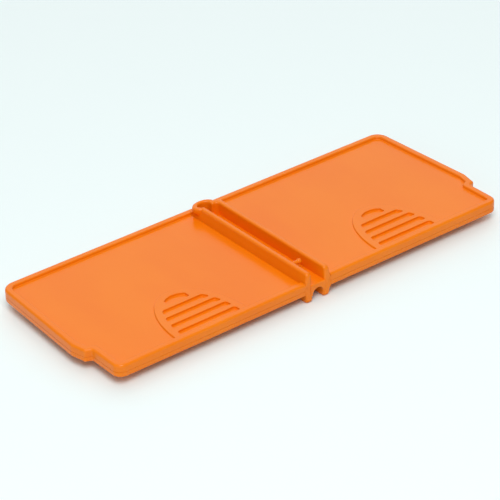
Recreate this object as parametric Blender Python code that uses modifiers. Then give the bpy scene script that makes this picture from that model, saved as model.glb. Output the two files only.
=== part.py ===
"""Flat insect trap: a hanging spine with a shallow tray and a sliding cover on each side.

Metres. X runs along the trap, Y from its front edge to its back edge, Z up.
The origin is under the middle of the trap, on the plane of the spine's feet.
"""
import math

import bmesh
import bpy
from mathutils import Matrix, Vector

# Whole trap
WIDTH = 0.058
HALF_WIDTH = WIDTH / 2
FRONT_HALF_LENGTH = 0.07185
STEP_HALF_LENGTH = 0.0739
APEX_HALF_LENGTH = 0.0750
BACK_HALF_LENGTH = 0.0731
STEP_Y = -0.0160
STEP_SLANT = 0.0004
APEX_Y = -0.0105
FRONT_CORNER_RADIUS = 0.0030
STEP_RADIUS = 0.0008
APEX_RADIUS = 0.0020
BACK_CORNER_RADIUS = 0.0042
SMALLEST_RADIUS = 0.0004
GAP = 0.0003

# Levels
WING_BOTTOM = 0.0030
TRAY_FLOOR = 0.0038
TRAY_TOP = 0.0046
COVER_BOTTOM = TRAY_TOP + GAP
PANEL_UNDERSIDE = 0.0053
PANEL_TOP = 0.0061
RIM_TOP = 0.0070
SPINE_TOP = 0.0100

# Trays and covers
INNER_EDGE = 0.00505
TRAY_WALL = 0.0018
RIM_WIDTH = 0.0023
SKIRT = 0.0014

# Tongues on the inner edges and the grooves that they fill
TONGUE_REACH = 0.0040
GROOVE_REACH = 0.0037
TONGUE_THICKNESS = 0.0005
COVER_TONGUE_Z = 0.00545
TRAY_TONGUE_Z = 0.00375
GROOVE_BACK = HALF_WIDTH - 0.0016

# Dovetail rail on the tray and the two hooks on the cover that run along it
RAIL_X = 0.0665
RAIL_FOOT = 0.0005
RAIL_HEAD = 0.00095
HOOK_OUTER = 0.0021
HOOK_BOTTOM = TRAY_FLOOR + GAP
HOOK_FRONT = 0.0040
HOOK_BACK = 0.0240

# Thumb grip on each cover: a raised half dome with five pockets between four ribs
GRIP_X = 0.0374
GRIP_BASE_Y = -HALF_WIDTH + RIM_WIDTH
GRIP_HALF_WIDTH = 0.0128
GRIP_HEIGHT = 0.0218
POCKETS_HALF_WIDTH = 0.0105
POCKETS_HEIGHT = 0.0192
LAST_POCKET_HALF_WIDTH = 0.0038
GRIP_TOP = PANEL_TOP + 0.0005
POCKET_FLOOR = PANEL_TOP - 0.0002
POCKET_DEPTH_Y = 0.0023
POCKET_PITCH = 0.00385
POCKET_FRONT_Y = -0.0264
POCKET_COUNT = 5
RIB_CHORDS = 4
DOME_CHORDS = 14

# Spine
SPINE_HALF_FOOT = 0.00475
SPINE_HALF_TOP = 0.00415
SPINE_HALF_GROUND = 0.0044
TROUGH_HALF_WIDTH = 0.00245
TROUGH_FLOOR = 0.00575
TUNNEL_RADIUS = 0.0020
TUNNEL_TOP = 0.0041
TUNNEL_CHORDS = 14
WALL_NOSE_RADIUS = 0.0013
WALL_BACK = 0.0226
EYE_X = -0.0017
EYE_Y = 0.0240
EYE_HALF_X = 0.0022
EYE_HALF_Y = 0.00145
RING_HALF_X = 0.0040
RING_HALF_Y = 0.0028
TUNNEL_BACK = 0.0210
TROUGH_BACK = 0.0229
TROUGH_CORNER = 0.0008
RIGHT_WALL_BACK = 0.0240
RIGHT_WALL_ROUNDING = 0.0010

# Keeper pin across the mouth of the trough
KEEPER_Y = -0.0200
KEEPER_Z = SPINE_TOP - 0.00105
KEEPER_RADIUS = 0.00065
KEEPER_BALL = 0.0009
KEEPER_CLEARANCE = 0.0001
KEEPER_ROOT_X = -0.0038
KEEPER_BALL_X = 0.0
KEEPER_CHORDS = 8
KEEPER_SIDES = 20

# Glue card with a window for the lure pad
CARD_THICKNESS = 0.0004
CARD_BOTTOM = TRAY_FLOOR + GAP
CARD_INSET = TRAY_WALL + GAP
CARD_OUTER_X = 0.0640
PAD_X = 0.0360
PAD_Y = 0.0150
PAD_RADIUS = 0.0080
PAD_THICKNESS = 0.0005

ARC_STEP = math.radians(18)
PAST = 0.0010
WELD = 0.000001

COLOURS = {
    "shell": ((0.90, 0.27, 0.03), 0.28),
    "card": ((0.93, 0.90, 0.80), 0.35),
    "lure": ((0.42, 0.13, 0.07), 0.75),
}


def clear_scene():
    for item in list(bpy.data.objects):
        bpy.data.objects.remove(item, do_unlink=True)


def new_collection(name):
    collection = bpy.data.collections.new(name)
    bpy.context.scene.collection.children.link(collection)
    return collection


def make_material(name, kind):
    colour, roughness = COLOURS[kind]
    material = bpy.data.materials.new(name)
    material.use_nodes = True
    shader = material.node_tree.nodes["Principled BSDF"]
    shader.inputs["Base Color"].default_value = (*colour, 1.0)
    shader.inputs["Roughness"].default_value = roughness
    return material


def finish_part(item, kind):
    """Put a finished sub-part in the trap's collection with its own material."""
    PARTS.objects.link(item)
    item.data.materials.append(make_material(item.name + "_finish", kind))
    item.data.shade_smooth()
    item.data.set_sharp_from_angle(angle=math.radians(35))
    return item


def add_boolean(target, tool, operation):
    """Cut or join with a helper solid, which goes in the cutters' collection."""
    CUTTERS.objects.link(tool)
    tool.hide_render = True
    tool.display_type = "WIRE"
    modifier = target.modifiers.new(tool.name, "BOOLEAN")
    modifier.operation = operation
    modifier.solver = "EXACT"
    modifier.object = tool


def cut(target, *tools):
    for tool in tools:
        add_boolean(target, tool, "DIFFERENCE")


def join(target, *tools):
    for tool in tools:
        add_boolean(target, tool, "UNION")


def place_flat(axis, low, high):
    """Matrix that turns a flat outline, extruded about zero, into a prism along an axis."""
    turns = {
        "X": Matrix(((0, 0, 1), (1, 0, 0), (0, 1, 0))),
        "Y": Matrix(((1, 0, 0), (0, 0, -1), (0, 1, 0))),
        "Z": Matrix.Identity(3),
    }
    shift = {axis: (low + high) / 2}
    place = Vector((shift.get("X", 0), shift.get("Y", 0), shift.get("Z", 0)))
    return Matrix.Translation(place) @ turns[axis].to_4x4()


def prism(name, outline, low, high, axis="Z"):
    """Extrude a flat outline from low to high along an axis, as a closed mesh."""
    curve = bpy.data.curves.new(name, "CURVE")
    curve.dimensions = "2D"
    curve.fill_mode = "BOTH"
    curve.extrude = (high - low) / 2
    spline = curve.splines.new("POLY")
    spline.points.add(len(outline) - 1)
    for point, (across, up) in zip(spline.points, outline):
        point.co = (across, up, 0, 1)
    spline.use_cyclic_u = True
    flat = bpy.data.objects.new(name, curve)
    bpy.context.scene.collection.objects.link(flat)
    evaluated = flat.evaluated_get(bpy.context.evaluated_depsgraph_get())
    mesh = bpy.data.meshes.new_from_object(evaluated)
    bpy.data.objects.remove(flat, do_unlink=True)
    mesh.transform(place_flat(axis, low, high))
    shape = bmesh.new()
    shape.from_mesh(mesh)
    bmesh.ops.remove_doubles(shape, verts=shape.verts, dist=WELD)
    bmesh.ops.recalc_face_normals(shape, faces=shape.faces)
    shape.to_mesh(mesh)
    shape.free()
    mesh.name = name
    return bpy.data.objects.new(name, mesh)


def rectangle(low_x, low_y, high_x, high_y):
    return [(low_x, low_y), (high_x, low_y), (high_x, high_y), (low_x, high_y)]


def ellipse(centre_x, centre_y, half_x, half_y, sides=40):
    steps = [2 * math.pi * index / sides for index in range(sides)]
    return [(centre_x + half_x * math.cos(a), centre_y + half_y * math.sin(a)) for a in steps]


def circle(centre_x, centre_y, radius, sides=40):
    return ellipse(centre_x, centre_y, radius, radius, sides)


def rounded(corners):
    """Outline through the corners (x, y, radius), each rounded by an arc."""
    outline = []
    for index, (x, y, radius) in enumerate(corners):
        corner = Vector((x, y))
        if radius == 0:
            outline.append((x, y))
            continue
        to_last = (Vector(corners[index - 1][:2]) - corner).normalized()
        to_next = (Vector(corners[(index + 1) % len(corners)][:2]) - corner).normalized()
        half = to_last.angle(to_next) / 2
        centre = corner + (to_last + to_next).normalized() * radius / math.sin(half)
        start = corner + to_last * radius / math.tan(half) - centre
        end = corner + to_next * radius / math.tan(half) - centre
        first = math.atan2(start.y, start.x)
        turn = math.remainder(math.atan2(end.y, end.x) - first, 2 * math.pi)
        count = max(2, round(abs(turn) / ARC_STEP))
        for step in range(count + 1):
            angle = first + turn * step / count
            outline.append((centre.x + radius * math.cos(angle), centre.y + radius * math.sin(angle)))
    return outline


def wing_corners(inset):
    """Right wing's corners (x, y, radius), counter-clockwise, moved inwards by inset."""
    corners = [
        (INNER_EDGE, -HALF_WIDTH, 0),
        (FRONT_HALF_LENGTH, -HALF_WIDTH, FRONT_CORNER_RADIUS),
        (FRONT_HALF_LENGTH, STEP_Y - STEP_SLANT, STEP_RADIUS),
        (STEP_HALF_LENGTH, STEP_Y + STEP_SLANT, STEP_RADIUS),
        (APEX_HALF_LENGTH, APEX_Y, APEX_RADIUS),
        (BACK_HALF_LENGTH, HALF_WIDTH, BACK_CORNER_RADIUS),
        (INNER_EDGE, HALF_WIDTH, 0),
    ]
    moved = []
    for index, (x, y, radius) in enumerate(corners):
        corner = Vector((x, y))
        before = (corner - Vector(corners[index - 1][:2])).normalized()
        after = (Vector(corners[(index + 1) % len(corners)][:2]) - corner).normalized()
        left_before = Vector((-before.y, before.x))
        left_after = Vector((-after.y, after.x))
        shift = (left_before + left_after) / (1 + left_before.dot(left_after)) * inset
        outward_bend = before.cross(after) > 0
        if radius:
            radius = max(radius - inset, SMALLEST_RADIUS) if outward_bend else radius + inset
        moved.append((x + shift.x, y + shift.y, radius))
    return moved


def wing_outline(side, inset=0.0, inner_x=None):
    """Outline of one wing; inner_x replaces the inset of the edge beside the spine."""
    corners = wing_corners(inset)
    if inner_x is not None:
        corners[0] = (inner_x, corners[0][1], 0)
        corners[-1] = (inner_x, corners[-1][1], 0)
    outline = rounded(corners)
    return [(side * x, y) for x, y in outline]


def mirrored(side, outline):
    return [(side * across, up) for across, up in outline]


def make_tray(side, name):
    """Shallow tray: floor, low walls, a dovetail rail and a tongue into the spine."""
    tray = prism(name, wing_outline(side), WING_BOTTOM, TRAY_TOP)
    pocket = prism(name + "_pocket", wing_outline(side, TRAY_WALL), TRAY_FLOOR, TRAY_TOP + PAST)
    rail_profile = [
        (RAIL_X - RAIL_FOOT, TRAY_FLOOR - GAP),
        (RAIL_X + RAIL_FOOT, TRAY_FLOOR - GAP),
        (RAIL_X + RAIL_FOOT, TRAY_FLOOR),
        (RAIL_X + RAIL_HEAD, TRAY_TOP - GAP),
        (RAIL_X - RAIL_HEAD, TRAY_TOP - GAP),
        (RAIL_X - RAIL_FOOT, TRAY_FLOOR),
    ]
    rail_end = HALF_WIDTH - TRAY_WALL / 2
    rail = prism(name + "_rail", mirrored(side, rail_profile), -rail_end, rail_end, "Y")
    tongue_profile = rectangle(
        TONGUE_REACH, TRAY_TONGUE_Z - TONGUE_THICKNESS / 2,
        INNER_EDGE + TRAY_WALL / 2, TRAY_TONGUE_Z + TONGUE_THICKNESS / 2)
    tongue_end = GROOVE_BACK - GAP
    tongue = prism(name + "_tongue", mirrored(side, tongue_profile), -tongue_end, tongue_end, "Y")
    cut(tray, pocket)
    join(tray, rail, tongue)
    return finish_part(tray, "shell")


def hook_profile(direction):
    """Cover hook beside the rail, on the side that direction gives, 1 or -1."""
    flank = (RAIL_HEAD - RAIL_FOOT) / (TRAY_TOP - GAP - TRAY_FLOOR)
    low_x = RAIL_FOOT + flank * (HOOK_BOTTOM - TRAY_FLOOR) + GAP
    high_x = RAIL_HEAD + GAP
    points = [
        (low_x, HOOK_BOTTOM),
        (HOOK_OUTER, HOOK_BOTTOM),
        (HOOK_OUTER, PANEL_UNDERSIDE + GAP),
        (high_x, PANEL_UNDERSIDE + GAP),
        (high_x, TRAY_TOP - GAP),
    ]
    return [(RAIL_X + direction * across, up) for across, up in points]


def dome_half_width(rise, half_width, height):
    """Half the dome's width at a rise above its flat side."""
    return half_width * math.sqrt(max(0.0, 1 - (max(rise, 0.0) / height) ** 2))


def dome_outline(half_width, height, low=0.0, high=None):
    """The dome between two rises above its flat side, counter-clockwise."""
    high = height if high is None else high
    steps = RIB_CHORDS if high < height else DOME_CHORDS
    right = []
    for step in range(steps + 1):
        part = step / steps
        rise = low + (high - low) * (math.sin(part * math.pi / 2) if high == height else part)
        right.append((dome_half_width(rise, half_width, height), rise))
    left = [(-across, rise) for across, rise in reversed(right) if across > 0]
    return [(GRIP_X + across, GRIP_BASE_Y + rise) for across, rise in right + left]


def pocket_outline(index):
    """One pocket of the grip, counted from the front; the last one is narrow and ends in the dome's arc."""
    low = POCKET_FRONT_Y + POCKET_PITCH * index - GRIP_BASE_Y
    if index < POCKET_COUNT - 1:
        return dome_outline(POCKETS_HALF_WIDTH, POCKETS_HEIGHT, low, low + POCKET_DEPTH_Y)
    outline = dome_outline(POCKETS_HALF_WIDTH, POCKETS_HEIGHT, low)
    farthest = LAST_POCKET_HALF_WIDTH
    return [(min(max(x, GRIP_X - farthest), GRIP_X + farthest), y) for x, y in outline]


def make_cover(side, name):
    """Sliding cover: panel with a raised rim on three sides, thumb grip, tongue and hooks."""
    cover = prism(name, wing_outline(side), COVER_BOTTOM, RIM_TOP)
    recess_outline = wing_outline(side, RIM_WIDTH, INNER_EDGE - PAST)
    recess = prism(name + "_recess", recess_outline, PANEL_TOP, RIM_TOP + PAST)
    hollow = prism(name + "_hollow", wing_outline(side, SKIRT), COVER_BOTTOM - PAST, PANEL_UNDERSIDE)
    tongue_profile = rectangle(
        TONGUE_REACH, COVER_TONGUE_Z - TONGUE_THICKNESS / 2,
        INNER_EDGE + SKIRT / 2, COVER_TONGUE_Z + TONGUE_THICKNESS / 2)
    tongue_back = GROOVE_BACK - GAP
    tongue = prism(name + "_tongue", mirrored(side, tongue_profile), -HALF_WIDTH, tongue_back, "Y")
    cut(cover, recess, hollow)
    join(cover, tongue)
    for direction, label in ((1, "_outer_hook"), (-1, "_inner_hook")):
        profile = mirrored(side, hook_profile(direction))
        join(cover, prism(name + label, profile, HOOK_FRONT, HOOK_BACK, "Y"))
    dome = dome_outline(GRIP_HALF_WIDTH, GRIP_HEIGHT, -GAP)
    join(cover, prism(name + "_grip", mirrored(side, dome), PANEL_TOP - GAP, GRIP_TOP))
    for index in range(POCKET_COUNT):
        outline = mirrored(side, pocket_outline(index))
        cut(cover, prism(f"{name}_pocket_{index}", outline, POCKET_FLOOR, GRIP_TOP + PAST))
    return finish_part(cover, "shell")


def make_glue_card(side, name):
    """Glue card on the tray's floor, with a round window for the lure pad."""
    inner_x = INNER_EDGE + CARD_INSET
    half_y = HALF_WIDTH - CARD_INSET
    outline = mirrored(side, rectangle(inner_x, -half_y, CARD_OUTER_X, half_y))
    card = prism(name, outline, CARD_BOTTOM, CARD_BOTTOM + CARD_THICKNESS)
    window_outline = circle(side * PAD_X, PAD_Y, PAD_RADIUS + GAP)
    cut(card, prism(name + "_window", window_outline, CARD_BOTTOM - PAST, CARD_BOTTOM + PAST))
    return finish_part(card, "card")


def make_lure_pad(side, name):
    """Round pad that holds the scent, lying in the card's window."""
    outline = circle(side * PAD_X, PAD_Y, PAD_RADIUS)
    pad = prism(name, outline, CARD_BOTTOM, CARD_BOTTOM + PAD_THICKNESS)
    return finish_part(pad, "lure")


def drafted_wall(name, low, high, foot_z, half_tip):
    """Both walls as one solid: narrower away from the wings, with rounded front noses."""
    tip_z = high if foot_z == low else low
    nose_top = WALL_NOSE_RADIUS if tip_z == high else 0
    nose_bottom = WALL_NOSE_RADIUS if tip_z == low else 0
    corners = [
        (-HALF_WIDTH, low, nose_bottom),
        (WALL_BACK, low, 0),
        (WALL_BACK, high, 0),
        (-HALF_WIDTH, high, nose_top),
    ]
    wall = prism(name, rounded(corners), -SPINE_HALF_FOOT, SPINE_HALF_FOOT, "X")
    narrowing = (SPINE_HALF_FOOT - half_tip) / abs(tip_z - foot_z)
    for vertex in wall.data.vertices:
        half = SPINE_HALF_FOOT - narrowing * abs(vertex.co.z - foot_z)
        vertex.co.x = math.copysign(half, vertex.co.x)
    return wall


def tunnel_profile():
    """Inverted U under the web, open downwards."""
    centre_z = TUNNEL_TOP - TUNNEL_RADIUS
    points = [(-TUNNEL_RADIUS, -PAST), (TUNNEL_RADIUS, -PAST)]
    for step in range(TUNNEL_CHORDS + 1):
        angle = math.pi * step / TUNNEL_CHORDS
        points.append((TUNNEL_RADIUS * math.cos(angle), centre_z + TUNNEL_RADIUS * math.sin(angle)))
    return points


def add_spine_walls(spine):
    """Walls above and below the wings, ending in a ring at the back."""
    upper_foot = PANEL_TOP - GAP
    lower_foot = WING_BOTTOM + GAP
    join(spine, drafted_wall("spine_upper_walls", upper_foot, SPINE_TOP, upper_foot, SPINE_HALF_TOP))
    join(spine, drafted_wall("spine_lower_walls", 0.0, lower_foot, lower_foot, SPINE_HALF_GROUND))
    neck = rounded([
        (EYE_X, WALL_BACK - PAST, 0),
        (SPINE_HALF_TOP, WALL_BACK - PAST, 0),
        (SPINE_HALF_TOP, RIGHT_WALL_BACK, RIGHT_WALL_ROUNDING),
        (EYE_X, RIGHT_WALL_BACK, 0),
    ])
    ring = ellipse(EYE_X, EYE_Y, RING_HALF_X, RING_HALF_Y)
    narrow_ring = [(max(x, -SPINE_HALF_GROUND), y) for x, y in ring]
    join(spine, prism("spine_upper_ring", ring, RIM_TOP + GAP, SPINE_TOP))
    join(spine, prism("spine_lower_ring", ring, 0.0, WING_BOTTOM - GAP))
    for label, low, high in (("upper", upper_foot, SPINE_TOP), ("lower", 0.0, lower_foot)):
        join(spine, prism(f"spine_{label}_neck", neck, low, high))
        join(spine, prism(f"spine_{label}_narrow_ring", narrow_ring, low, high))


def make_spine(name):
    """Central moulding: an H section with a trough above, a tunnel below and an eye at the back."""
    block = rectangle(-SPINE_HALF_FOOT, -HALF_WIDTH, SPINE_HALF_FOOT, HALF_WIDTH)
    spine = prism(name, block, WING_BOTTOM, PANEL_TOP)
    back_rim = rectangle(-SPINE_HALF_FOOT, HALF_WIDTH - RIM_WIDTH, SPINE_HALF_FOOT, HALF_WIDTH)
    join(spine, prism("spine_back_rim", back_rim, PANEL_TOP - GAP, RIM_TOP))
    add_spine_walls(spine)
    eye_right = EYE_X + EYE_HALF_X
    trough = [
        (-TROUGH_HALF_WIDTH, -HALF_WIDTH - PAST),
        (TROUGH_HALF_WIDTH, -HALF_WIDTH - PAST),
        (TROUGH_HALF_WIDTH, TROUGH_BACK - TROUGH_CORNER),
        (TROUGH_HALF_WIDTH - TROUGH_CORNER, TROUGH_BACK),
        (eye_right, TROUGH_BACK),
        (eye_right, EYE_Y),
        (-TROUGH_HALF_WIDTH, EYE_Y),
    ]
    cut(spine, prism("spine_trough", trough, TROUGH_FLOOR, SPINE_TOP + PAST))
    cut(spine, prism("spine_tunnel", tunnel_profile(), -HALF_WIDTH - PAST, TUNNEL_BACK, "Y"))
    eye = ellipse(EYE_X, EYE_Y, EYE_HALF_X, EYE_HALF_Y)
    cut(spine, prism("spine_eye", eye, -PAST, SPINE_TOP + PAST))
    for side, label in ((-1, "left"), (1, "right")):
        for level, z in (("cover", COVER_TONGUE_Z), ("tray", TRAY_TONGUE_Z)):
            half = TONGUE_THICKNESS / 2 + GAP
            profile = rectangle(GROOVE_REACH, z - half, SPINE_HALF_FOOT + PAST, z + half)
            front = -HALF_WIDTH - PAST if level == "cover" else -GROOVE_BACK
            groove = prism(f"spine_{label}_{level}_groove", mirrored(side, profile), front, GROOVE_BACK, "Y")
            cut(spine, groove)
    bore_outline = circle(KEEPER_Y, KEEPER_Z, KEEPER_RADIUS + KEEPER_CLEARANCE, KEEPER_SIDES)
    bore_root = KEEPER_ROOT_X - KEEPER_CLEARANCE
    cut(spine, prism("spine_keeper_bore", bore_outline, bore_root, -TROUGH_HALF_WIDTH + PAST, "X"))
    return finish_part(spine, "shell")


def make_keeper_pin(name):
    """Ball-ended pin that stops what lies in the trough from sliding out."""
    neck_angle = math.asin(KEEPER_RADIUS / KEEPER_BALL)
    profile = [(0.0, KEEPER_BALL)]
    for step in range(1, KEEPER_CHORDS + 1):
        angle = (math.pi - neck_angle) * step / KEEPER_CHORDS
        profile.append((KEEPER_BALL * math.sin(angle), KEEPER_BALL * math.cos(angle)))
    profile.append((KEEPER_RADIUS, KEEPER_ROOT_X - KEEPER_BALL_X))
    profile.append((0.0, KEEPER_ROOT_X - KEEPER_BALL_X))
    mesh = bpy.data.meshes.new(name)
    shape = bmesh.new()
    last = None
    for across, along in profile:
        vertex = shape.verts.new((across, 0, along))
        if last:
            shape.edges.new((last, vertex))
        last = vertex
    shape.to_mesh(mesh)
    shape.free()
    pin = bpy.data.objects.new(name, mesh)
    turned = pin.modifiers.new("turned", "SCREW")
    turned.steps = KEEPER_SIDES
    turned.render_steps = KEEPER_SIDES
    turned.use_merge_vertices = True
    turned.merge_threshold = WELD
    pin.location = (KEEPER_BALL_X, KEEPER_Y, KEEPER_Z)
    pin.rotation_euler = (0, math.radians(90), 0)
    return finish_part(pin, "shell")


clear_scene()
PARTS = new_collection("insect_trap")
CUTTERS = new_collection("cutters")
make_spine("spine_channel")
make_keeper_pin("keeper_pin")
for wing_side, wing_name in ((-1, "left"), (1, "right")):
    make_tray(wing_side, wing_name + "_tray")
    make_glue_card(wing_side, wing_name + "_glue_card")
    make_lure_pad(wing_side, wing_name + "_lure_pad")
    make_cover(wing_side, wing_name + "_cover")
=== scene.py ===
"""Looks of the flat insect trap: finished meshes, materials, light and camera round its frame.

Metres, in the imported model's frame: X along the trap, Y towards its back, Z up.
"""
import math

import bmesh
import bpy
from mathutils import Matrix, Vector


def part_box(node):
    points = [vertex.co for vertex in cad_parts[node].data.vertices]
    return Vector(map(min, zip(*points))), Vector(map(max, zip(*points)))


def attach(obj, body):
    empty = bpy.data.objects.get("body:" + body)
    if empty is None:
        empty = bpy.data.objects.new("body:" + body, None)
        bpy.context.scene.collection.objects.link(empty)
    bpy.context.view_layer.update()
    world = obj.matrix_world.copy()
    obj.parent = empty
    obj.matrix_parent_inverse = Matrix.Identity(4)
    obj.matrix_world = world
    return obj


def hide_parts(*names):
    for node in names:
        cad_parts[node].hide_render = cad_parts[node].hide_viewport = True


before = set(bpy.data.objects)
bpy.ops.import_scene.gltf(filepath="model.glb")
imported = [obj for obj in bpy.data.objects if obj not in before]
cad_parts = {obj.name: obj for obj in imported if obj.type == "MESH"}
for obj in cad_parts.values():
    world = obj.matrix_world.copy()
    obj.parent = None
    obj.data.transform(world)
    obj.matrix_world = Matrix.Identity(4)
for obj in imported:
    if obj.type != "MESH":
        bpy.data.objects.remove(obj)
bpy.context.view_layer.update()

spine_low, spine_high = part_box("spine_channel")
cover_low, cover_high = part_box("right_cover")
tray_low, tray_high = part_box("right_tray")
pad_low, pad_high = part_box("right_lure_pad")
pin_low, pin_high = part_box("keeper_pin")

# Levels and main sizes, from the frame
HALF_WIDTH = cover_high[1]
WING_BOTTOM = tray_low[2]
TRAY_TOP = tray_high[2]
RIM_TOP = cover_high[2]
SPINE_TOP = spine_high[2]
APEX_HALF_LENGTH = cover_high[0]
TONGUE_REACH = cover_low[0]
GAP = 0.0003
PAST = 0.0010
SEAM = 0.00005
RIM_RISE = 0.0009
SHELL_THICKNESS = 0.0008
COVER_BOTTOM = TRAY_TOP + SEAM
PANEL_TOP = RIM_TOP - RIM_RISE
PANEL_UNDERSIDE = PANEL_TOP - SHELL_THICKNESS
TRAY_FLOOR = WING_BOTTOM + SHELL_THICKNESS

# Outline of a wing
FRONT_HALF_LENGTH = APEX_HALF_LENGTH - 0.00315
STEP_HALF_LENGTH = APEX_HALF_LENGTH - 0.0011
BACK_HALF_LENGTH = APEX_HALF_LENGTH - 0.0019
STEP_Y = -0.0160
STEP_SLANT = 0.0004
STEP_CORNER = 0.0008
APEX_Y = -0.0105
APEX_CORNER = 0.0020
FRONT_CORNER = 0.0030
BACK_CORNER = 0.0042
SMALLEST_CORNER = 0.0004
INNER_EDGE = 0.00480
RIM_WIDTH = 0.0023
RIM_OUTER_ROUND = 0.0008
RIM_INNER_ROUND = 0.00045
PANEL_ROUND = 0.00022
SEAM_ROUND = 0.00006
BOTTOM_ROUND = 0.00040
SKIRT = 0.0014
TRAY_WALL = 0.0018

# Tongues, grooves, rail and hooks
GROOVE_REACH = TONGUE_REACH - SEAM
TONGUE_THICKNESS = 0.0005
COVER_TONGUE_Z = 0.00545
TRAY_TONGUE_Z = 0.00375
GROOVE_BACK = HALF_WIDTH - 0.0016
RAIL_X = 0.0665
RAIL_FOOT = 0.0005
RAIL_HEAD = 0.00095
HOOK_OUTER = 0.0021
HOOK_FRONT = 0.0040
HOOK_BACK = 0.0240

# Thumb grip
GRIP_X = 0.0374
GRIP_BASE_Y = -HALF_WIDTH + RIM_WIDTH
GRIP_HALF_WIDTH = 0.0128
GRIP_HEIGHT = 0.0218
POCKETS_HALF_WIDTH = 0.0105
POCKETS_HEIGHT = 0.0192
LAST_POCKET_HALF_WIDTH = 0.0038
GRIP_TOP = PANEL_TOP + 0.0005
POCKET_FLOOR = PANEL_TOP - 0.0002
POCKET_DEPTH_Y = 0.0023
POCKET_PITCH = 0.00385
POCKET_FRONT_Y = -0.0264
POCKET_COUNT = 5
POCKET_CORNER = 0.00045
POCKET_LIP = 0.00012

# Spine
SPINE_HALF_FOOT = 0.00475
SPINE_HALF_TOP = 0.00415
SPINE_HALF_GROUND = 0.0044
TROUGH_HALF_WIDTH = 0.00245
TROUGH_FLOOR = 0.00575
TUNNEL_RADIUS = 0.0020
TUNNEL_TOP = 0.0041
EYE_X = -0.0017
EYE_Y = 0.0240
EYE_HALF_X = 0.0022
EYE_HALF_Y = 0.00145
RING_HALF_X = 0.0040
RING_HALF_Y = 0.0028
TUNNEL_BACK = 0.0210
TROUGH_BACK = 0.0227
RIGHT_WALL_BACK = 0.0242
LEDGE = 0.00008
EDGE_ROUND = 0.0006
TOP_NOSE_ROUND = 0.0013
FOOT_NOSE_ROUND = 0.0010
WALL_NOSE = 0.0008
WALL_DRAFT = 0.16
PIN_BORE_RADIUS = 0.00065
CREASE_ANGLE = math.radians(32)
WELD = 1e-6

CORNER_STEPS = 6


# ---------------------------------------------------------------- outlines

def rounded(corners):
    """Outline through corners (x, y, radius), each rounded by an arc of CORNER_STEPS chords."""
    outline = []
    for index, (x, y, radius) in enumerate(corners):
        corner = Vector((x, y))
        if radius == 0:
            outline.append((x, y))
            continue
        to_last = (Vector(corners[index - 1][:2]) - corner).normalized()
        to_next = (Vector(corners[(index + 1) % len(corners)][:2]) - corner).normalized()
        half = to_last.angle(to_next) / 2
        centre = corner + (to_last + to_next).normalized() * radius / math.sin(half)
        start = corner + to_last * radius / math.tan(half) - centre
        end = corner + to_next * radius / math.tan(half) - centre
        first = math.atan2(start.y, start.x)
        turn = math.remainder(math.atan2(end.y, end.x) - first, 2 * math.pi)
        for step in range(CORNER_STEPS + 1):
            angle = first + turn * step / CORNER_STEPS
            outline.append((centre.x + radius * math.cos(angle), centre.y + radius * math.sin(angle)))
    return outline


def eye_arc(half_x, half_y, first, last, steps):
    """Points of an ellipse round the eye, as corners that aren't rounded again."""
    points = []
    for step in range(steps + 1):
        angle = first + (last - first) * step / steps
        points.append((EYE_X + half_x * math.cos(angle), EYE_Y + half_y * math.sin(angle), 0))
    return points


def wing_corners(inset):
    """Right wing's corners (x, y, radius), counter-clockwise, moved inwards by inset."""
    corners = [
        (INNER_EDGE, -HALF_WIDTH, 0),
        (FRONT_HALF_LENGTH, -HALF_WIDTH, FRONT_CORNER),
        (FRONT_HALF_LENGTH, STEP_Y - STEP_SLANT, STEP_CORNER),
        (STEP_HALF_LENGTH, STEP_Y + STEP_SLANT, STEP_CORNER),
        (APEX_HALF_LENGTH, APEX_Y, APEX_CORNER),
        (BACK_HALF_LENGTH, HALF_WIDTH, BACK_CORNER),
        (INNER_EDGE, HALF_WIDTH, 0),
    ]
    moved = []
    for index, (x, y, radius) in enumerate(corners):
        corner = Vector((x, y))
        before = (corner - Vector(corners[index - 1][:2])).normalized()
        after = (Vector(corners[(index + 1) % len(corners)][:2]) - corner).normalized()
        left_before = Vector((-before.y, before.x))
        left_after = Vector((-after.y, after.x))
        shift = (left_before + left_after) / (1 + left_before.dot(left_after)) * inset
        bends_out = before.cross(after) > 0
        if radius:
            radius = max(radius - inset, SMALLEST_CORNER) if bends_out else radius + inset * 0.4
        moved.append((x + shift.x, y + shift.y, radius))
    return moved


def wing_outline(side, inset=0.0, inner_x=INNER_EDGE):
    """Outline of one wing, inset on its three outer edges only."""
    corners = wing_corners(inset)
    corners[0] = (inner_x, corners[0][1], 0)
    corners[-1] = (inner_x, corners[-1][1], 0)
    return [(side * x, y) for x, y in rounded(corners)]


def dome_half_width(rise, half_width, height):
    return half_width * math.sqrt(max(0.0, 1 - (max(rise, 0.0) / height) ** 2))


def dome_outline(side, inset):
    """Thumb grip's outline, with its flat side inside the front rim."""
    steps = 28
    half_width = GRIP_HALF_WIDTH - inset
    height = GRIP_HEIGHT - inset
    right = [(dome_half_width(0, half_width, height), -GAP)]
    for step in range(steps + 1):
        rise = height * math.sin(step / steps * math.pi / 2)
        right.append((dome_half_width(rise, half_width, height), rise))
    left = [(-across, rise) for across, rise in reversed(right) if across > 0]
    return [(side * (GRIP_X + across), GRIP_BASE_Y + rise) for across, rise in right + left]


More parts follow.
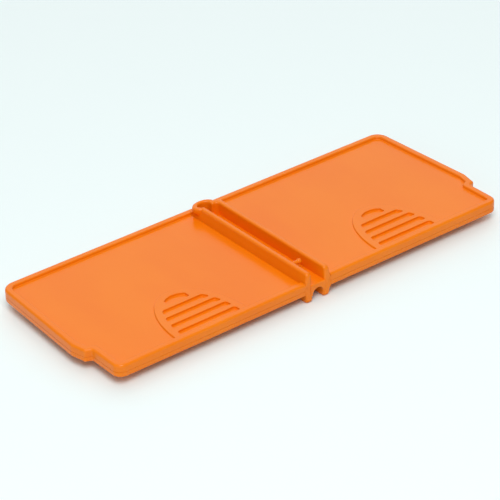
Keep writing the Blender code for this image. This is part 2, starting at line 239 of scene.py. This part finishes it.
def pocket_outline(side, index, inset):
    """One pocket of the grip, counted from the front; the last one ends in the dome's arc."""
    half_width = POCKETS_HALF_WIDTH - inset
    height = POCKETS_HEIGHT - inset
    low = POCKET_FRONT_Y + POCKET_PITCH * index - GRIP_BASE_Y
    high = low + POCKET_DEPTH_Y - inset
    low += inset
    low_half = dome_half_width(low, half_width, height)
    radius = POCKET_CORNER - inset * 0.8
    if index < POCKET_COUNT - 1:
        high_half = dome_half_width(high, half_width, height)
        corners = [(-low_half, low, radius), (low_half, low, radius)]
        corners += [(high_half, high, radius * 2), (-high_half, high, radius * 2)]
    else:
        low_half = LAST_POCKET_HALF_WIDTH - inset
        corners = [(-low_half, low, radius), (low_half, low, radius)]
        steps = 18
        for step in range(steps + 1):
            across = low_half * math.cos(math.pi * step / steps)
            corners.append((across, height * math.sqrt(1 - (across / half_width) ** 2), 0))
    return [(side * (GRIP_X + across), GRIP_BASE_Y + rise) for across, rise in rounded(corners)]


def band_outline(outer_x, inner_x, nose, inset=0.0, bulge=1.0, setback=0.0):
    """Plan of the spine's two walls, with the ring that joins them and bulges to the left."""
    nose = max(nose - inset, 0.00012)
    inner_nose = max(0.0008 - inset, 0.0002)
    outer_x -= inset
    inner_x += inset
    front = -HALF_WIDTH + max(inset, setback)
    back = RIGHT_WALL_BACK - inset
    eye_x = EYE_HALF_X + inset
    eye_right = EYE_X + eye_x
    ring_x = RING_HALF_X - inset
    ring_y = RING_HALF_Y - inset
    eye_start = 2 * math.pi - math.acos((-inner_x - EYE_X) / eye_x)
    ring_start = math.asin((back - EYE_Y) / ring_y)
    ring_end = 2 * math.pi - math.acos((-outer_x - EYE_X) / ring_x)
    corners = [(-outer_x, front, nose), (-inner_x, front, inner_nose)]
    corners += eye_arc(eye_x, EYE_HALF_Y + inset, eye_start, 0.0, 26)
    corners += [
        (eye_right, TROUGH_BACK + inset, 0.0005),
        (inner_x, TROUGH_BACK + inset, 0.0012),
        (inner_x, front, inner_nose),
        (outer_x, front, nose),
        (outer_x, back, 0.0009),
    ]
    for x, y, radius in eye_arc(ring_x, ring_y, ring_start, ring_end, 40):
        beyond = min(x + outer_x, 0.0)
        corners.append((x - beyond * (1 - bulge), y, radius))
    return rounded(corners)


# ---------------------------------------------------------------- solids

def to_axis(point, along, axis):
    """Point of a flat outline, at a place along an axis, in space."""
    across, up = point
    places = {"X": (along, across, up), "Y": (across, along, up), "Z": (across, up, along)}
    return places[axis]


def solid(name, levels, axis="Z"):
    """Closed solid through outlines of equal length, given as (outline, place along the axis)."""
    shape = bmesh.new()
    rings = []
    for outline, along in levels:
        rings.append([shape.verts.new(to_axis(point, along, axis)) for point in outline])
    for low, high in zip(rings, rings[1:]):
        for index in range(len(low)):
            following = (index + 1) % len(low)
            shape.faces.new((low[index], low[following], high[following], high[index]))
    shape.faces.new(list(reversed(rings[0])))
    shape.faces.new(rings[-1])
    bmesh.ops.recalc_face_normals(shape, faces=shape.faces)
    mesh = bpy.data.meshes.new(name)
    shape.to_mesh(mesh)
    shape.free()
    return bpy.data.objects.new(name, mesh)


def prism(name, outline, low, high, axis="Z"):
    return solid(name, [(outline, low), (outline, high)], axis)


def rectangle(low_x, low_y, high_x, high_y):
    return [(low_x, low_y), (high_x, low_y), (high_x, high_y), (low_x, high_y)]


def circle(centre_x, centre_y, radius, sides=48):
    steps = [2 * math.pi * index / sides for index in range(sides)]
    return [(centre_x + radius * math.cos(a), centre_y + radius * math.sin(a)) for a in steps]


def mirrored(side, outline):
    return [(side * across, up) for across, up in outline]


def quarter(radius, steps=5):
    """(inset, drop) pairs of a rounded edge, from the wall to the face that it meets."""
    angles = [math.pi / 2 * step / steps for step in range(steps + 1)]
    return [(radius * (1 - math.cos(a)), radius * (1 - math.sin(a))) for a in angles]


def combine(target, tool, operation):
    """Cut or join, and apply it, so that no helper is left in the scene."""
    bpy.context.scene.collection.objects.link(tool)
    modifier = target.modifiers.new(tool.name, "BOOLEAN")
    modifier.operation = operation
    modifier.solver = "EXACT"
    modifier.object = tool
    evaluated = target.evaluated_get(bpy.context.evaluated_depsgraph_get())
    mesh = bpy.data.meshes.new_from_object(evaluated)
    target.modifiers.remove(modifier)
    old = target.data
    target.data = mesh
    bpy.data.meshes.remove(old)
    bpy.data.objects.remove(tool, do_unlink=True)


def cut(target, *tools):
    for tool in tools:
        combine(target, tool, "DIFFERENCE")


def join(target, *tools):
    for tool in tools:
        combine(target, tool, "UNION")


def finish_piece(piece, node, body, material):
    """Weld, shade and hand a finished piece over to its body in place of its CAD node."""
    mesh = piece.data
    shape = bmesh.new()
    shape.from_mesh(mesh)
    bmesh.ops.remove_doubles(shape, verts=shape.verts, dist=WELD)
    bmesh.ops.dissolve_degenerate(shape, edges=shape.edges, dist=WELD)
    bmesh.ops.recalc_face_normals(shape, faces=shape.faces)
    shape.to_mesh(mesh)
    shape.free()
    mesh.shade_smooth()
    mesh.set_sharp_from_angle(angle=CREASE_ANGLE)
    weighted = piece.modifiers.new("face_weights", "WEIGHTED_NORMAL")
    weighted.keep_sharp = True
    weighted.weight = 100
    mesh.materials.clear()
    mesh.materials.append(material)
    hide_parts(node)
    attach(piece, body)


def begin(name, levels, axis="Z"):
    """Start a piece from a solid, linked so that Booleans can be evaluated on it."""
    piece = solid(name, levels, axis)
    bpy.context.scene.collection.objects.link(piece)
    return piece


# ---------------------------------------------------------------- wings

def make_cover(side, name, material):
    """Sliding cover: soft-edged panel with a raised rim, thumb grip, tongue and hooks."""
    low_edge = reversed(quarter(SEAM_ROUND, 2))
    levels = [(wing_outline(side, inset), COVER_BOTTOM + drop) for inset, drop in low_edge]
    levels += [(wing_outline(side, inset), RIM_TOP - drop) for inset, drop in quarter(RIM_OUTER_ROUND, 7)]
    cover = begin(name + "_shell", levels)
    inner = INNER_EDGE - PAST
    floor = [(RIM_WIDTH + inset, PANEL_TOP + drop) for inset, drop in reversed(quarter(PANEL_ROUND, 4))]
    lip = [(RIM_WIDTH - inset, RIM_TOP - drop) for inset, drop in quarter(RIM_INNER_ROUND, 4)]
    profile = floor + lip + [(RIM_WIDTH - RIM_INNER_ROUND, RIM_TOP + PAST)]
    cut(cover, solid("recess", [(wing_outline(side, inset, inner), z) for inset, z in profile]))
    chamfer = 0.0002
    hollow = [
        (SKIRT, COVER_BOTTOM - PAST),
        (SKIRT, PANEL_UNDERSIDE - chamfer),
        (SKIRT + chamfer, PANEL_UNDERSIDE),
    ]
    inner = INNER_EDGE + SKIRT
    cut(cover, solid("hollow", [(wing_outline(side, inset, inner), z) for inset, z in hollow]))
    tongue = rectangle(TONGUE_REACH, COVER_TONGUE_Z - TONGUE_THICKNESS / 2,
                       INNER_EDGE + SKIRT / 2, COVER_TONGUE_Z + TONGUE_THICKNESS / 2)
    join(cover, prism("tongue", mirrored(side, tongue), -HALF_WIDTH + 0.00003, GROOVE_BACK - GAP, "Y"))
    for direction in (1, -1):
        profile = mirrored(side, hook_profile(direction))
        join(cover, prism("hook", profile, HOOK_FRONT, HOOK_BACK, "Y"))
    add_grip(cover, side)
    finish_piece(cover, name, name, material)


def hook_profile(direction):
    """Cover hook beside the tray's dovetail rail, on the side that direction gives."""
    hook_bottom = TRAY_FLOOR + GAP
    flank = (RAIL_HEAD - RAIL_FOOT) / (TRAY_TOP - GAP - TRAY_FLOOR)
    low_x = RAIL_FOOT + flank * (hook_bottom - TRAY_FLOOR) + GAP
    high_x = RAIL_HEAD + GAP
    points = [
        (low_x, hook_bottom),
        (HOOK_OUTER, hook_bottom),
        (HOOK_OUTER, PANEL_UNDERSIDE + GAP),
        (high_x, PANEL_UNDERSIDE + GAP),
        (high_x, TRAY_TOP - GAP),
    ]
    return [(RAIL_X + direction * across, up) for across, up in points]


def add_grip(cover, side):
    """Raised half dome with five soft-edged pockets between four ribs."""
    profile = [(-0.00010, PANEL_TOP - 0.0002), (-0.00010, PANEL_TOP), (-0.00003, PANEL_TOP + 0.00005),
               (0.0, PANEL_TOP + 0.00012)]
    profile += [(inset, GRIP_TOP - drop) for inset, drop in quarter(0.00026, 4)]
    join(cover, solid("dome", [(dome_outline(side, inset), z) for inset, z in profile]))
    floor = [(inset, POCKET_FLOOR + drop) for inset, drop in reversed(quarter(0.00010, 3))]
    lip = [(-inset, GRIP_TOP - drop) for inset, drop in quarter(POCKET_LIP, 3)]
    profile = floor + lip + [(-POCKET_LIP, GRIP_TOP + PAST)]
    for index in range(POCKET_COUNT):
        levels = [(pocket_outline(side, index, inset), z) for inset, z in profile]
        cut(cover, solid("pocket", levels))


def make_tray(side, name, material):
    """Shallow tray: soft-edged floor and low walls, dovetail rail, tongue and moulding marks."""
    low_edge = reversed(quarter(BOTTOM_ROUND))
    levels = [(wing_outline(side, inset), WING_BOTTOM + drop) for inset, drop in low_edge]
    levels += [(wing_outline(side, inset), TRAY_TOP - drop) for inset, drop in quarter(SEAM_ROUND, 2)]
    tray = begin(name + "_shell", levels)
    inner = INNER_EDGE + TRAY_WALL
    floor = [(TRAY_WALL + inset, TRAY_FLOOR + drop) for inset, drop in reversed(quarter(0.0002, 3))]
    profile = floor + [(TRAY_WALL, TRAY_TOP + PAST)]
    cut(tray, solid("pocket", [(wing_outline(side, inset, inner), z) for inset, z in profile]))
    rail = [
        (RAIL_X - RAIL_FOOT, TRAY_FLOOR - GAP),
        (RAIL_X + RAIL_FOOT, TRAY_FLOOR - GAP),
        (RAIL_X + RAIL_FOOT, TRAY_FLOOR),
        (RAIL_X + RAIL_HEAD, TRAY_TOP - GAP),
        (RAIL_X - RAIL_HEAD, TRAY_TOP - GAP),
        (RAIL_X - RAIL_FOOT, TRAY_FLOOR),
    ]
    rail_end = HALF_WIDTH - TRAY_WALL / 2
    join(tray, prism("rail", mirrored(side, rail), -rail_end, rail_end, "Y"))
    tongue = rectangle(TONGUE_REACH, TRAY_TONGUE_Z - TONGUE_THICKNESS / 2,
                       INNER_EDGE + TRAY_WALL / 2, TRAY_TONGUE_Z + TONGUE_THICKNESS / 2)
    tongue_end = GROOVE_BACK - GAP
    join(tray, prism("tongue", mirrored(side, tongue), -tongue_end, tongue_end, "Y"))
    add_moulding_marks(tray, side)
    finish_piece(tray, name, "frame", material)


def add_moulding_marks(tray, side):
    """Round ejector marks and a gate mark, pressed a little into the underside."""
    depth = 0.00012
    for x in (0.014, 0.039, 0.062):
        for y in (-0.020, 0.020):
            mark = circle(side * x, y, 0.0016, 40)
            narrow = circle(side * x, y, 0.0015, 40)
            cut(tray, solid("ejector_mark", [(mark, WING_BOTTOM - PAST), (mark, WING_BOTTOM),
                                             (narrow, WING_BOTTOM + depth)]))
    gate = circle(side * 0.039, 0.0, 0.0022, 40)
    cut(tray, prism("gate_well", gate, WING_BOTTOM - PAST, WING_BOTTOM + 0.0002))


# ---------------------------------------------------------------- spine

def make_spine(name, material):
    """Central moulding: two drafted walls joined by a ring and a web, over an arched tunnel."""
    spine = begin(name + "_moulding", band_levels())
    join(spine, make_web())
    join(spine, make_back_block())
    cut_trough_and_eye(spine)
    cut_grooves(spine)
    cut_pin_bore(spine)
    finish_piece(spine, name, "frame", material)


def cut_trough_and_eye(spine):
    """Open the back block, a LEDGE inside the walls so that no cut shares a face with them."""
    inner = TROUGH_HALF_WIDTH - LEDGE
    back = TROUGH_BACK - LEDGE
    eye_right = EYE_X + EYE_HALF_X - LEDGE
    trough = [
        (-inner, 0.0), (inner, 0.0), (inner, back - 0.0012),
        (inner - 0.0004, back - 0.0004), (inner - 0.0012, back),
        (eye_right, back), (eye_right, EYE_Y), (-inner, EYE_Y),
    ]
    cut(spine, prism("trough", trough, TROUGH_FLOOR, PANEL_TOP + PAST))
    arc = eye_arc(EYE_HALF_X - LEDGE, EYE_HALF_Y - LEDGE, 0.0, math.tau, 64)
    eye = [(x, y) for x, y, _ in arc[:-1]]
    cut(spine, prism("eye", eye, -PAST, SPINE_TOP - 0.002))


def cut_grooves(spine):
    """A pair of grooves on each side, for the tongues of a cover and a tray."""
    half = TONGUE_THICKNESS / 2 + SEAM
    for side in (-1, 1):
        for z, front in ((COVER_TONGUE_Z, -HALF_WIDTH - PAST), (TRAY_TONGUE_Z, -GROOVE_BACK)):
            profile = rectangle(GROOVE_REACH, z - half, SPINE_HALF_FOOT + PAST, z + half)
            cut(spine, prism("groove", mirrored(side, profile), front, GROOVE_BACK, "Y"))


def cut_pin_bore(spine):
    """Bore through the left wall for the keeper pin."""
    pin_y = (pin_low[1] + pin_high[1]) / 2
    pin_z = (pin_low[2] + pin_high[2]) / 2
    bore = circle(pin_y, pin_z, PIN_BORE_RADIUS, 32)
    cut(spine, prism("pin_bore", bore, pin_low[0] - 0.0001, -TROUGH_HALF_WIDTH + PAST, "X"))


def edge_inset(radius, depth):
    """How far a rounded edge stands back at a depth below the face that it meets."""
    if depth >= radius:
        return 0.0
    return radius - math.sqrt(radius ** 2 - (radius - depth) ** 2)


def band_levels():
    """Levels of the walls: drafted and soft-edged above and below, with no bulge beside the wings."""
    trough = TROUGH_HALF_WIDTH
    tunnel = TUNNEL_RADIUS + 0.00003
    levels = []
    for depth in (0.0, 0.00003, 0.00008, 0.00018, 0.0003, 0.00045, 0.0006, 0.0008, 0.0010):
        inset = edge_inset(EDGE_ROUND, depth)
        setback = edge_inset(FOOT_NOSE_ROUND, depth)
        levels.append((band_outline(SPINE_HALF_GROUND, tunnel, WALL_NOSE, inset, 1.0, setback), depth))
    levels.append((band_outline(SPINE_HALF_FOOT - 0.0001, tunnel, 0.0006), WING_BOTTOM - GAP - 0.0001))
    levels.append((band_outline(SPINE_HALF_FOOT, tunnel, 0.0001, 0.0, 0.0), WING_BOTTOM - GAP))
    levels.append((band_outline(SPINE_HALF_FOOT, trough, 0.0001, 0.0, 0.0), WING_BOTTOM))
    levels.append((band_outline(SPINE_HALF_FOOT, trough, 0.0001, 0.0, 0.0), PANEL_TOP))
    levels.append((band_outline(SPINE_HALF_FOOT - 0.0001, trough, 0.0004, 0.0, 0.0), RIM_TOP))
    for part in (0.03, 0.15, 0.4, 0.7, 0.9):
        outer = SPINE_HALF_FOOT - 0.00012 - 0.00022 * part
        height = RIM_TOP + 0.00003 + 0.0016 * math.acos(1 - 2 * part) / math.pi
        levels.append((band_outline(outer, trough, WALL_NOSE, 0.0, part), height))
    for depth in (0.0013, 0.0010, 0.00075, 0.0006, 0.00045, 0.0003, 0.00018, 0.00008, 0.00003, 0.0):
        outer = SPINE_HALF_TOP + depth * WALL_DRAFT
        inset = edge_inset(EDGE_ROUND, depth)
        setback = edge_inset(TOP_NOSE_ROUND, depth)
        levels.append((band_outline(outer, trough, WALL_NOSE, inset, 1.0, setback), SPINE_TOP - depth))
    return levels


def arch_profile(inset):
    """Cross-section of the web: flat trough floor on top, arched tunnel below."""
    radius = TUNNEL_RADIUS + inset
    wide = TROUGH_HALF_WIDTH + 0.0003
    spring = TUNNEL_TOP - TUNNEL_RADIUS
    steps = 20
    points = [(wide, spring), (wide, TROUGH_FLOOR - inset), (-wide, TROUGH_FLOOR - inset), (-wide, spring)]
    for step in range(steps + 1):
        angle = math.pi * (1 - step / steps)
        points.append((radius * math.cos(angle), spring + radius * math.sin(angle)))
    return points


def make_web():
    front = [(arch_profile(inset), -HALF_WIDTH + drop) for inset, drop in reversed(quarter(0.0003, 4))]
    return solid("web", front + [(arch_profile(0.0), TUNNEL_BACK)], "Y")


def make_back_block():
    """Solid end of the spine behind the trough, with the rim carried across it."""
    outline = rounded([
        (TUNNEL_BACK - PAST, WING_BOTTOM, 0),
        (HALF_WIDTH, WING_BOTTOM, BOTTOM_ROUND),
        (HALF_WIDTH, RIM_TOP, RIM_OUTER_ROUND),
        (HALF_WIDTH - RIM_WIDTH, RIM_TOP, RIM_INNER_ROUND),
        (HALF_WIDTH - RIM_WIDTH, PANEL_TOP, PANEL_ROUND),
        (TUNNEL_BACK - PAST, PANEL_TOP, 0),
    ])
    half = SPINE_HALF_FOOT - 0.00001
    return prism("back_block", outline, -half, half, "X")


def make_keeper_pin(name, material):
    """Ball-ended pin, turned about X."""
    centre_y = (pin_low[1] + pin_high[1]) / 2
    centre_z = (pin_low[2] + pin_high[2]) / 2
    ball = (pin_high[2] - pin_low[2]) / 2
    shank = ball * 0.73
    ball_x = pin_high[0] - ball
    neck = math.asin(shank / ball)
    profile = []
    for step in range(1, 15):
        angle = (math.pi - neck) * step / 14
        profile.append((ball_x + ball * math.cos(angle), ball * math.sin(angle)))
    profile.append((profile[-1][0] - 0.0001, shank))
    profile.append((pin_low[0] + 0.0001, shank))
    profile.append((pin_low[0], shank - 0.0001))
    levels = [(circle(centre_y, centre_z, radius, 36), x) for x, radius in reversed(profile)]
    pin = begin(name + "_turned", levels, "X")
    finish_piece(pin, name, "frame", material)


# ---------------------------------------------------------------- card and lure

CARD_CORNER = 0.0015
CARD_THICKNESS = 0.00028


def card_outline(low, high, inset):
    corners = rectangle(low[0] + inset, low[1] + inset, high[0] - inset, high[1] - inset)
    return rounded([(x, y, CARD_CORNER) for x, y in corners])


def make_glue_card(side, node, material):
    """Card with rounded corners, a round window and a soft bead of glue along its edges."""
    low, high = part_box(node)
    window_x = side * (pad_low[0] + pad_high[0]) / 2
    window_y = (pad_low[1] + pad_high[1]) / 2
    window = (pad_high[0] - pad_low[0]) / 2 + GAP
    sheet_top = low[2] + CARD_THICKNESS
    bead = sheet_top + 0.00008
    profile = [
        (0.00005, low[2]), (0.0, low[2] + 0.00005), (0.0, sheet_top),
        (0.0018, sheet_top), (0.0019, bead), (0.0022, high[2]), (0.0030, high[2]),
    ]
    card = begin(node + "_sheet", [(card_outline(low, high, inset), z) for inset, z in profile])
    edge = [
        (window, low[2] - PAST), (window, sheet_top), (window + 0.0008, sheet_top),
        (window + 0.0009, bead), (window + 0.0012, high[2]), (window + 0.0012, high[2] + PAST),
    ]
    cut(card, solid("window", [(circle(window_x, window_y, radius, 72), z) for radius, z in edge]))
    finish_piece(card, node, "frame", material)


def make_lure_pad(node, material):
    """Rubber disc with rounded edges and a shallow dish."""
    low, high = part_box(node)
    centre_x = (low[0] + high[0]) / 2
    centre_y = (low[1] + high[1]) / 2
    radius = (high[0] - low[0]) / 2
    profile = [(radius - inset, low[2] + drop) for inset, drop in reversed(quarter(0.00015, 3))]
    profile += [(radius - inset, high[2] - drop) for inset, drop in quarter(0.00018, 4)]
    profile += [
        (radius - 0.0012, high[2]),
        (radius - 0.0016, high[2] - 0.00012),
        (radius * 0.4, high[2] - 0.00016),
    ]
    pad = begin(node + "_disc", [(circle(centre_x, centre_y, r, 72), z) for r, z in profile])
    finish_piece(pad, node, "frame", material)


# ---------------------------------------------------------------- materials

def new_material(name, colour, roughness):
    material = bpy.data.materials.new(name)
    material.use_nodes = True
    nodes = material.node_tree.nodes
    shader = nodes["Principled BSDF"]
    shader.inputs["Base Color"].default_value = (*colour, 1.0)
    shader.inputs["Roughness"].default_value = roughness
    return material, nodes, material.node_tree.links, shader


def object_noise(nodes, links, scale, detail, stretch=(1, 1, 1)):
    """Noise in metres of the object, stretched by a mapping."""
    coordinates = nodes.new("ShaderNodeTexCoord")
    mapping = nodes.new("ShaderNodeMapping")
    mapping.inputs["Scale"].default_value = stretch
    noise = nodes.new("ShaderNodeTexNoise")
    noise.inputs["Scale"].default_value = scale
    noise.inputs["Detail"].default_value = detail
    links.new(coordinates.outputs["Object"], mapping.inputs["Vector"])
    links.new(mapping.outputs["Vector"], noise.inputs["Vector"])
    return noise.outputs["Fac"]


def map_range(nodes, links, value, low, high, new_low, new_high):
    node = nodes.new("ShaderNodeMapRange")
    node.inputs["From Min"].default_value = low
    node.inputs["From Max"].default_value = high
    node.inputs["To Min"].default_value = new_low
    node.inputs["To Max"].default_value = new_high
    links.new(value, node.inputs["Value"])
    return node.outputs["Result"]


def mix_colours(nodes, links, factor, first, second):
    node = nodes.new("ShaderNodeMix")
    node.data_type = "RGBA"
    node.inputs["A"].default_value = (*first, 1.0)
    node.inputs["B"].default_value = (*second, 1.0)
    links.new(factor, node.inputs["Factor"])
    return node.outputs["Result"]


def add_bump(nodes, links, height, strength, distance, normal=None):
    bump = nodes.new("ShaderNodeBump")
    bump.inputs["Strength"].default_value = strength
    bump.inputs["Distance"].default_value = distance
    links.new(height, bump.inputs["Height"])
    if normal is not None:
        links.new(normal, bump.inputs["Normal"])
    return bump.outputs["Normal"]


def moulded_plastic(name):
    """Satin-gloss orange plastic: faint flow clouds, patchy gloss and fine moulded grain."""
    deep = (0.870, 0.190, 0.001)
    light = (0.890, 0.210, 0.002)
    material, nodes, links, shader = new_material(name, deep, 0.3)
    clouds = object_noise(nodes, links, 55.0, 3.0, (1.0, 0.45, 1.0))
    factor = map_range(nodes, links, clouds, 0.35, 0.65, 0.0, 1.0)
    links.new(mix_colours(nodes, links, factor, deep, light), shader.inputs["Base Color"])
    patches = object_noise(nodes, links, 70.0, 1.0)
    links.new(map_range(nodes, links, patches, 0.1, 0.9, 0.20, 0.28), shader.inputs["Roughness"])
    grain = object_noise(nodes, links, 2600.0, 2.0)
    peel = object_noise(nodes, links, 330.0, 1.0)
    normal = add_bump(nodes, links, peel, 0.12, 0.00002)
    normal = add_bump(nodes, links, grain, 0.10, 0.00001, normal)
    links.new(normal, shader.inputs["Normal"])
    shader.inputs["Specular IOR Level"].default_value = 0.28
    shader.inputs["IOR"].default_value = 1.49
    return material


def glue_card_material():
    """Cream coated card under clear glue, with a fine printed grid."""
    cream = (0.83, 0.77, 0.60)
    ink = (0.45, 0.40, 0.30)
    material, nodes, links, shader = new_material("glue_card", cream, 0.2)
    coordinates = nodes.new("ShaderNodeTexCoord")
    grid = nodes.new("ShaderNodeTexBrick")
    grid.offset = 0.0
    grid.inputs["Scale"].default_value = 1.0
    grid.inputs["Brick Width"].default_value = 0.010
    grid.inputs["Row Height"].default_value = 0.010
    grid.inputs["Mortar Size"].default_value = 0.00012
    grid.inputs["Mortar Smooth"].default_value = 0.2
    grid.inputs["Color1"].default_value = (*cream, 1.0)
    grid.inputs["Color2"].default_value = (*cream, 1.0)
    grid.inputs["Mortar"].default_value = (*ink, 1.0)
    links.new(coordinates.outputs["Object"], grid.inputs["Vector"])
    links.new(grid.outputs["Color"], shader.inputs["Base Color"])
    ripples = object_noise(nodes, links, 260.0, 3.0, (1.0, 0.4, 1.0))
    strings = object_noise(nodes, links, 900.0, 2.0)
    normal = add_bump(nodes, links, ripples, 0.5, 0.0001)
    normal = add_bump(nodes, links, strings, 0.2, 0.00004, normal)
    links.new(normal, shader.inputs["Normal"])
    links.new(map_range(nodes, links, ripples, 0.3, 0.7, 0.08, 0.24), shader.inputs["Roughness"])
    shader.inputs["Coat Weight"].default_value = 0.6
    shader.inputs["Coat Roughness"].default_value = 0.06
    return material


def lure_material():
    """Matt red-brown rubber with a dusty bloom."""
    rubber = (0.17, 0.035, 0.015)
    bloom = (0.30, 0.10, 0.06)
    material, nodes, links, shader = new_material("lure_rubber", rubber, 0.7)
    dust = object_noise(nodes, links, 420.0, 5.0)
    factor = map_range(nodes, links, dust, 0.45, 0.75, 0.0, 1.0)
    links.new(mix_colours(nodes, links, factor, rubber, bloom), shader.inputs["Base Color"])
    links.new(map_range(nodes, links, dust, 0.3, 0.7, 0.6, 0.8), shader.inputs["Roughness"])
    grain = object_noise(nodes, links, 3000.0, 3.0)
    links.new(add_bump(nodes, links, grain, 0.5, 0.00003), shader.inputs["Normal"])
    return material


# ---------------------------------------------------------------- stage, light and camera

def make_floor():
    """Pale table under the spine's feet."""
    bpy.ops.mesh.primitive_plane_add(size=6.0, location=(0, 0, -0.00002))
    floor = bpy.context.object
    floor.name = "table"
    material, nodes, links, shader = new_material("table_white", (0.86, 0.95, 0.95), 0.6)
    cloud = object_noise(nodes, links, 3.0, 2.0)
    white = mix_colours(nodes, links, cloud, (0.85, 0.95, 0.945), (0.87, 0.96, 0.955))
    links.new(white, shader.inputs["Base Color"])
    floor.data.materials.append(material)


def add_area_light(name, size, power, place, aim=(0, 0, 0)):
    light = bpy.data.lights.new(name, "AREA")
    light.shape = "RECTANGLE"
    light.size = size[0]
    light.size_y = size[1]
    light.energy = power
    item = bpy.data.objects.new(name, light)
    bpy.context.scene.collection.objects.link(item)
    item.location = place
    item.rotation_euler = (Vector(aim) - Vector(place)).to_track_quat("-Z", "Y").to_euler()


def light_scene():
    world = bpy.data.worlds.new("studio")
    bpy.context.scene.world = world
    world.use_nodes = True
    background = world.node_tree.nodes["Background"]
    background.inputs["Color"].default_value = (0.97, 1.0, 1.0, 1.0)
    background.inputs["Strength"].default_value = 0.31
    add_area_light("top_softbox", (1.6, 1.3), 4.4, (0.1, 0.3, 1.4))
    add_area_light("front_softbox", (0.6, 0.6), 7.7, (-0.32, -0.53, 0.95))
    add_area_light("left_fill", (1.0, 0.5), 1.3, (-1.1, -0.5, 0.45))
    add_area_light("back_wall", (1.8, 1.2), 5.2, (0.72, 0.96, 0.72), (0, 0.1, 0))
    bpy.context.scene.view_settings.view_transform = "Standard"


CAMERA_AZIMUTH = math.radians(37.12)
CAMERA_ELEVATION = math.radians(30.85)
CAMERA_ROLL = math.radians(-1.956)
CAMERA_DISTANCE = 0.71418
CAMERA_AIM = (-0.00236, 0.00044, 0.0045)
SENSOR = 0.036
FIELD_SLOPE = 0.21047


def make_camera():
    data = bpy.data.cameras.new("camera")
    data.sensor_width = SENSOR * 1000
    data.lens = data.sensor_width / FIELD_SLOPE
    data.clip_start = 0.01
    camera = bpy.data.objects.new("camera", data)
    bpy.context.scene.collection.objects.link(camera)
    level = math.cos(CAMERA_ELEVATION)
    across = -math.sin(CAMERA_AZIMUTH) * level
    back = -math.cos(CAMERA_AZIMUTH) * level
    away = Vector((across, back, math.sin(CAMERA_ELEVATION)))
    turn = (-away).to_track_quat("-Z", "Y").to_matrix().to_4x4()
    place = Matrix.Translation(Vector(CAMERA_AIM) + away * CAMERA_DISTANCE)
    camera.matrix_world = place @ turn @ Matrix.Rotation(CAMERA_ROLL, 4, "Z")
    bpy.context.scene.camera = camera


# ---------------------------------------------------------------- the trap

def build_trap():
    shell = moulded_plastic("moulded_orange")
    card = glue_card_material()
    rubber = lure_material()
    make_spine("spine_channel", shell)
    make_keeper_pin("keeper_pin", shell)
    for side, word in ((-1, "left"), (1, "right")):
        make_tray(side, word + "_tray", shell)
        make_cover(side, word + "_cover", shell)
        make_glue_card(side, word + "_glue_card", card)
        make_lure_pad(word + "_lure_pad", rubber)


build_trap()
make_floor()
light_scene()
make_camera()
